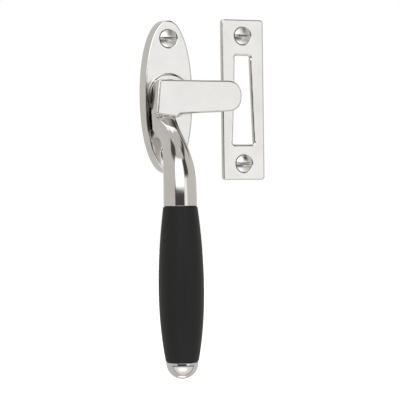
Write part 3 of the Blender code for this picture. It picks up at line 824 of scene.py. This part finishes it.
def lever_painted_shade(tree):
    """Painted shade on the hub's back, where it faces the rose, and in the corner under the
    tongue's root.
    """
    facing, place = axes_of(tree, "Normal"), axes_of(tree, "Object")
    back = product(
        tree,
        rising(tree, facing["Y"], *HUB_BACK_SHADE_FACING_Y, full=HUB_BACK_SHADE_STRENGTH),
        rising(tree, place["Z"], *HUB_BACK_SHADE_Z),
    )
    corner = product(
        tree,
        falling(tree, facing["Z"], *ROOT_SHADE_FACING_Z),
        rising(tree, place["Z"], *ROOT_SHADE_Z),
        rising(tree, place["X"], *ROOT_SHADE_LEFT),
        falling(tree, place["X"], *ROOT_SHADE_RIGHT),
    )
    return calculate(tree, "MAXIMUM", back, corner)


def hub_side_shade(tree):
    """Painted shade on the rose's face beside the hub, standing in for the dark reflection of the
    hub in front of it.
    """
    facing, place = axes_of(tree, "Normal"), axes_of(tree, "Object")
    return product(
        tree,
        rising(tree, place["X"], *HUB_SIDE_LEFT),
        falling(tree, place["X"], *HUB_SIDE_RIGHT),
        falling(tree, facing["Y"], *HUB_SIDE_FACING_Y, full=HUB_SIDE_SHADE_STRENGTH),
        falling(tree, place["Z"], *HUB_SIDE_TOP),
        rising(tree, place["Z"], *HUB_SIDE_BOTTOM),
    )


def nickel(name, roughness, grain=(1.0, 1.0, 1.0), gap=RECESS_REACH, local_shade=None):
    """Polished nickel plate: warm grey, with smudges, polishing grain and painted shade in
    recesses.
    """
    material, tree, shader = new_material(name)
    plain = stretched(tree)
    smudge = noise(tree, plain, scale=140.0, detail=3.0, roughness=0.6)
    patch = noise(tree, plain, scale=40.0, detail=2.0, roughness=0.5)
    fine = noise(tree, stretched(tree, grain), scale=3000.0, detail=4.0, roughness=0.65)
    tone = calculate(tree, "ADD", calculate(tree, "MULTIPLY", smudge, 0.6), patch)
    wear = remap(tree, tone, 0.0, 1.0, from_low=0.55, from_high=1.05)
    colour = blend_colours(tree, wear, NICKEL_CLEAN, NICKEL_DULL)
    # Painted shade: recesses, and any local_shade areas, are darkened towards the shade colour
    shade = recess_shade(tree, gap)
    if local_shade:
        shade = calculate(tree, "MAXIMUM", shade, local_shade(tree))
    tree.links.new(blend_colours(tree, shade, colour, PAINTED_SHADE_COLOUR), shader.inputs["Base Color"])
    shader.inputs["Metallic"].default_value = 1.0
    spread = roughness * 0.35
    low, high = roughness - spread, roughness + spread
    blotch = remap(tree, smudge, low, high, from_low=0.35, from_high=0.65)
    grainy = remap(tree, fine, -0.25 * spread, 0.25 * spread, from_low=0.3, from_high=0.7)
    tree.links.new(calculate(tree, "ADD", blotch, grainy), shader.inputs["Roughness"])
    swell = noise(tree, plain, scale=260.0, detail=1.5, roughness=0.5)
    waves = bump(tree, shader, swell, strength=1.0, distance=0.022 * MM)
    bump(tree, shader, fine, strength=0.05, distance=0.03 * MM, under=waves)
    return material


def ebony(name):
    """Turned, waxed ebony: near black, fine lengthwise pores and faint lathe rings."""
    material, tree, shader = new_material(name)
    along = stretched(tree, FIBRES)
    pores = noise(tree, along, scale=1700.0, detail=4.0, roughness=0.65)
    streak = noise(tree, along, scale=240.0, detail=3.0, roughness=0.5)
    rings = noise(tree, stretched(tree, LATHE_RINGS), scale=1500.0, detail=3.0, roughness=0.6)
    colour = blend_colours(tree, streak, EBONY_DARK, EBONY_LIGHT)
    tree.links.new(colour, shader.inputs["Base Color"])
    tree.links.new(remap(tree, pores, 0.42, 0.60), shader.inputs["Roughness"])
    shader.inputs["Specular IOR Level"].default_value = 0.30
    height = calculate(tree, "ADD", calculate(tree, "MULTIPLY", rings, 0.8), pores)
    bump(tree, shader, height, strength=0.45, distance=0.06 * MM)
    return material


def plain_metal(name, light, dark, roughness, scale):
    """Turned or rolled metal of the hidden parts, with shade and roughness variation."""
    material, tree, shader = new_material(name)
    vector = stretched(tree)
    patch = noise(tree, vector, scale, detail=4.0, roughness=0.6)
    fine = noise(tree, vector, scale * 12.0, detail=3.0, roughness=0.5)
    tree.links.new(blend_colours(tree, patch, light, dark), shader.inputs["Base Color"])
    shader.inputs["Metallic"].default_value = 1.0
    rough = remap(tree, patch, roughness - 0.08, roughness + 0.10)
    tree.links.new(rough, shader.inputs["Roughness"])
    bump(tree, shader, fine, strength=0.2, distance=0.04 * MM)
    return material


# -------------------------------------------------------------------- studio

# Light and dark cards around the object. Each has a name, its azimuth, its elevation
# and its brightness. Azimuth is measured from the front towards the left, elevation
# from the horizon, both in degrees and as (middle, half span, blur). A later card
# covers an earlier one where they overlap, and BASE_LEVEL shows between them.
CARDS = [
    ("left_wall", (120.0, 72.0, 10.0), (0.0, 50.0, 15.0), 0.65),
    ("right_wall", (-92.0, 62.0, 10.0), (0.0, 45.0, 12.0), 0.69),
    ("right_white", (-22.0, 9.0, 3.0), (0.0, 45.0, 12.0), 1.16),
    ("dark_band_right", (-34.0, 17.0, 4.0), (33.0, 14.0, 4.0), 0.07),
    ("dark_band_upper", (-72.0, 25.0, 6.0), (54.0, 7.0, 4.0), 0.07),
    ("dark_band_steep", (-54.0, 11.0, 3.0), (56.0, 11.0, 3.0), 0.07),
    ("scoop_light", (-28.0, 13.0, 4.0), (70.0, 6.0, 3.0), 2.0),
    ("dark_band_back", (-128.0, 26.0, 6.0), (38.0, 14.0, 5.0), 0.07),
    ("low_back_white", (-162.0, 28.0, 6.0), (-66.0, 10.0, 4.0), 1.7),
    ("overhead", (0.0, 181.0, 1.0), (90.0, 28.0, 6.0), 0.62),
    ("back_softbox", (188.0, 50.0, 8.0), (66.0, 13.0, 4.0), 1.6),
    ("dark_gap", (66.0, 26.0, 5.0), (56.0, 14.0, 5.0), 0.08),
    ("table_shade", (12.0, 86.0, 3.0), (-58.0, 43.0, 3.0), 0.18),
    ("table", (12.0, 80.0, 3.0), (-60.0, 38.0, 3.0), 0.92),
    ("table_light", (18.0, 34.0, 20.0), (-44.0, 13.0, 9.0), 1.7),
    ("camera_dark", (23.0, 32.0, 3.0), (-4.0, 14.0, 4.0), 0.07),
    ("key_softbox", (19.0, 31.0, 3.0), (28.0, 21.0, 4.0), 1.7),
]
BASE_LEVEL = 0.62

# Dim cards are a little warm and bright ones a little cool
WARM_TINT = (1.015, 0.985, 0.942)
COOL_TINT = (0.984, 1.0, 1.007)
TINT_LEVELS = (0.70, 1.10)

HALF_TURN = 180.0

FLOOR_HALF_SIZE = 3.0
FLOOR_DROP = 0.10
FLOOR_COLOUR = (0.93, 0.93, 0.925, 1.0)
FLOOR_ROUGHNESS = 0.9
FLOOR_GLOW = 0.6
WHITE = (1.0, 1.0, 1.0, 1.0)

# Eye in metres from the frame's origin; turn to the right, tilt and roll in degrees
CAMERA_PLACE = (-0.1942, -0.5405, -0.0346)
CAMERA_YAW = 21.138
CAMERA_PITCH = -0.626
CAMERA_ROLL = -0.747
CAMERA_LENS = 130.5
CAMERA_SENSOR = 36.0
CAMERA_REACH = 20.0


def span_mask(tree, angle, middle, half, blur):
    """1 within `half` of `middle`, falling to 0 over `blur`; angles in degrees."""
    away = calculate(tree, "SUBTRACT", angle, middle)
    wrapped = calculate(tree, "WRAP", away, HALF_TURN)
    wrapped.node.inputs[2].default_value = -HALF_TURN
    return falling(tree, calculate(tree, "ABSOLUTE", wrapped), half - blur, half + blur)


def studio_light():
    """World light: white to the camera, soft boxes and dark cards to everything else."""
    world = bpy.data.worlds.new("studio")
    bpy.context.scene.world = world
    world.use_nodes = True
    tree = world.node_tree
    tree.nodes.clear()
    direction = axes_of(tree, "Generated")
    left = calculate(tree, "MULTIPLY", direction["X"], -1.0)
    front = calculate(tree, "MULTIPLY", direction["Y"], -1.0)
    degree = HALF_TURN / math.pi
    azimuth = product(tree, calculate(tree, "ARCTAN2", left, front), degree)
    elevation = product(tree, calculate(tree, "ARCSINE", direction["Z"]), degree)
    level = BASE_LEVEL
    for _, across, up, brightness in CARDS:
        mask = product(tree, span_mask(tree, azimuth, *across), span_mask(tree, elevation, *up))
        level = blend_values(tree, mask, level, brightness)
    soft = add_node(tree, "ShaderNodeBackground")
    bright = remap(tree, level, 0.0, 1.0, *TINT_LEVELS)
    tint = blend_colours(tree, bright, WARM_TINT, COOL_TINT)
    tree.links.new(tint, soft.inputs["Color"])
    tree.links.new(level, soft.inputs["Strength"])
    white = add_node(tree, "ShaderNodeBackground")
    white.inputs["Color"].default_value = WHITE
    path = add_node(tree, "ShaderNodeLightPath")
    mixer = add_node(tree, "ShaderNodeMixShader")
    tree.links.new(path.outputs["Is Camera Ray"], mixer.inputs[0])
    tree.links.new(soft.outputs["Background"], mixer.inputs[1])
    tree.links.new(white.outputs["Background"], mixer.inputs[2])
    out = add_node(tree, "ShaderNodeOutputWorld")
    tree.links.new(mixer.outputs["Shader"], out.inputs["Surface"])


def floor(low):
    """A large pale floor below the hanging object."""
    bm = bmesh.new()
    bmesh.ops.create_grid(bm, x_segments=4, y_segments=4, size=FLOOR_HALF_SIZE)
    mesh = bpy.data.meshes.new("floor")
    bm.to_mesh(mesh)
    bm.free()
    item = bpy.data.objects.new("floor", mesh)
    bpy.context.scene.collection.objects.link(item)
    item.location = (0.0, 0.0, low - FLOOR_DROP)
    item.visible_glossy = False
    material, tree, shader = new_material("pale_floor")
    shader.inputs["Base Color"].default_value = FLOOR_COLOUR
    shader.inputs["Roughness"].default_value = FLOOR_ROUGHNESS
    path = add_node(tree, "ShaderNodeLightPath")
    glow = calculate(tree, "MULTIPLY", path.outputs["Is Camera Ray"], FLOOR_GLOW)
    shader.inputs["Emission Color"].default_value = WHITE
    tree.links.new(glow, shader.inputs["Emission Strength"])
    item.data.materials.append(material)
    item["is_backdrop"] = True


def camera():
    """Eye to the left of the plates, level with the neck, with a long lens."""
    data = bpy.data.cameras.new("camera")
    data.sensor_width = CAMERA_SENSOR
    data.lens = CAMERA_LENS
    data.clip_end = CAMERA_REACH
    item = bpy.data.objects.new("camera", data)
    bpy.context.scene.collection.objects.link(item)
    item.location = CAMERA_PLACE
    level = math.radians(90.0)
    turn = Matrix.Rotation(-math.radians(CAMERA_YAW), 3, "Z")
    tilt = Matrix.Rotation(level + math.radians(CAMERA_PITCH), 3, "X")
    roll = Matrix.Rotation(math.radians(CAMERA_ROLL), 3, "Z")
    item.rotation_euler = (turn @ tilt @ roll).to_euler()
    bpy.context.scene.camera = item


# -------------------------------------------------------------------- assembly


def dress(item, material, body, *nodes):
    """Give a fine piece its material and body, in place of its CAD nodes."""
    item.data.materials.clear()
    item.data.materials.append(material)
    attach(item, body)
    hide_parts(*nodes)


def main():
    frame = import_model()
    cad_low, cad_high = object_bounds()

    polished = nickel("nickel_polished", roughness=0.07)
    # The lever's nickel carries painted shade on the hub's back and under the tongue's root
    lever_nickel_and_shade = nickel(
        "nickel_lever", roughness=0.07, gap=RECESS_REACH_LEVER, local_shade=lever_painted_shade
    )
    flat = nickel("nickel_flat", roughness=0.13, grain=PLATE_GRAIN)
    # The rose's nickel carries painted shade beside the hub
    rose_nickel_and_shade = nickel(
        "nickel_rose", roughness=0.13, grain=PLATE_GRAIN, local_shade=hub_side_shade
    )
    head = nickel("nickel_screw", roughness=0.28, gap=RECESS_REACH_SCREW)
    black = ebony("ebony")
    steel = plain_metal(
        "steel", light=(0.50, 0.50, 0.51), dark=(0.38, 0.38, 0.40), roughness=0.34, scale=320.0
    )
    bronze = plain_metal(
        "bronze", light=(0.60, 0.40, 0.20), dark=(0.45, 0.28, 0.13), roughness=0.36, scale=260.0
    )

    field, low, high = rose_field()
    casting = field_object("rose_casting", field, low, high, STEP_ROSE)
    dress(casting, rose_nickel_and_shade, "rose", "rose_plate")
    field, low, high = lever_field()
    casting = field_object("lever_casting", field, low, high, STEP_LEVER)
    dress(casting, lever_nickel_and_shade, "lever", "lever")
    field, low, high = strike_field()
    plate = field_object("strike_casting", field, low, high, STEP_STRIKE)
    dress(plate, flat, "strike", "strike_plate")
    for body in ("rose", "strike"):
        for place in ("upper", "lower"):
            node = body + "_screw_" + place
            field, low, high = screw_field(node)
            dress(field_object(node + "_fine", field, low, high, STEP_SCREW), head, body, node)
    dress(grip_piece(), black, "lever", "grip")
    dress(cap_piece(), polished, "lever", "end_cap")

    finishes = {
        "rose_bush": bronze,
        "thrust_washer": bronze,
        "wave_washer": steel,
        "pivot_stud": steel,
        "keyed_washer": steel,
        "pivot_nut": steel,
        "grip_rod": steel,
    }
    for node, material in finishes.items():
        mesh = frame["nodes"][node].data
        mesh.materials.clear()
        mesh.materials.append(material)

    bpy.context.scene.view_settings.view_transform = "Standard"
    studio_light()
    floor(cad_low.z)
    camera()
    low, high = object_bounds()


main()
